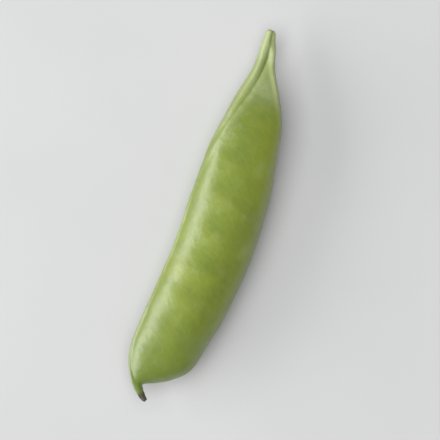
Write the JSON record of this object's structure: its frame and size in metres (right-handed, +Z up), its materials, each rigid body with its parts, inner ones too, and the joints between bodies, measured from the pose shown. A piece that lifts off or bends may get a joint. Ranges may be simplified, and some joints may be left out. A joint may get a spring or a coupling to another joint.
{
  "type": "sugar snap pea pod",
  "caption": "Plump closed pea pod with a slender neck, a gently bowed body with low pea swellings, raised sutures and a small hooked beak, lying on its broad side.",
  "frame": {"origin": "on the resting surface, under the middle of the bounding box", "axes": "+X along the pod from the stem scar to the beak, +Y across it from the adaxial suture to the convex abaxial suture, +Z up through its thickness"},
  "size_m": [0.074, 0.0162, 0.0106],
  "materials": {
    "pod_skin": "smooth living green skin, waxy and softly glossy"
  },
  "bodies": {
    "root": {"pod": "pod_skin"}
  },
  "joints": []
}
